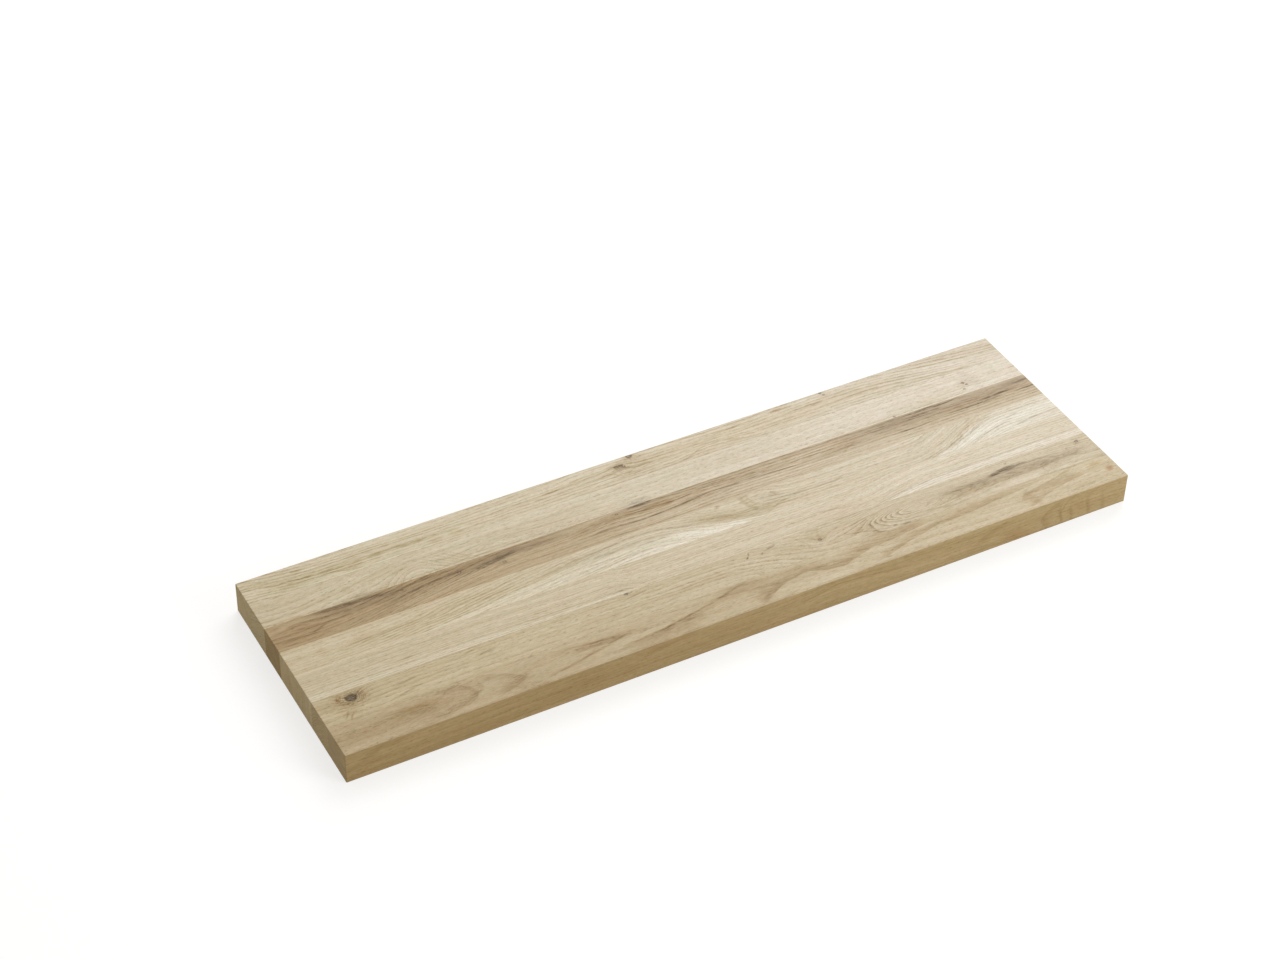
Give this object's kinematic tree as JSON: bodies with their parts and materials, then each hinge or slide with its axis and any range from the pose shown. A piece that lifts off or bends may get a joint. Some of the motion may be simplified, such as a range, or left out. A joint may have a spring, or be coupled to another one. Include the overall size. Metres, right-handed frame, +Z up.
{
  "type": "stair tread",
  "caption": "Rectangular solid oak stair tread, edge-glued from full-length staves, with square lightly eased edges and a sanded unfinished face.",
  "frame": {"origin": "middle of the underside", "axes": "+X along the staves, +Y from the nosing to the back edge, +Z up to the walking face"},
  "size_m": [1, 0.3, 0.04],
  "materials": {
    "oak_tan": "sanded, unfinished",
    "oak_pale": "sanded, unfinished",
    "oak_brown": "sanded, unfinished"
  },
  "bodies": {
    "root": {"stave_1_back": "oak_pale", "stave_2": "oak_pale", "stave_3": "oak_brown", "stave_4": "oak_pale", "stave_5": "oak_pale", "stave_6": "oak_tan", "stave_7_nosing": "oak_tan"}
  },
  "joints": []
}
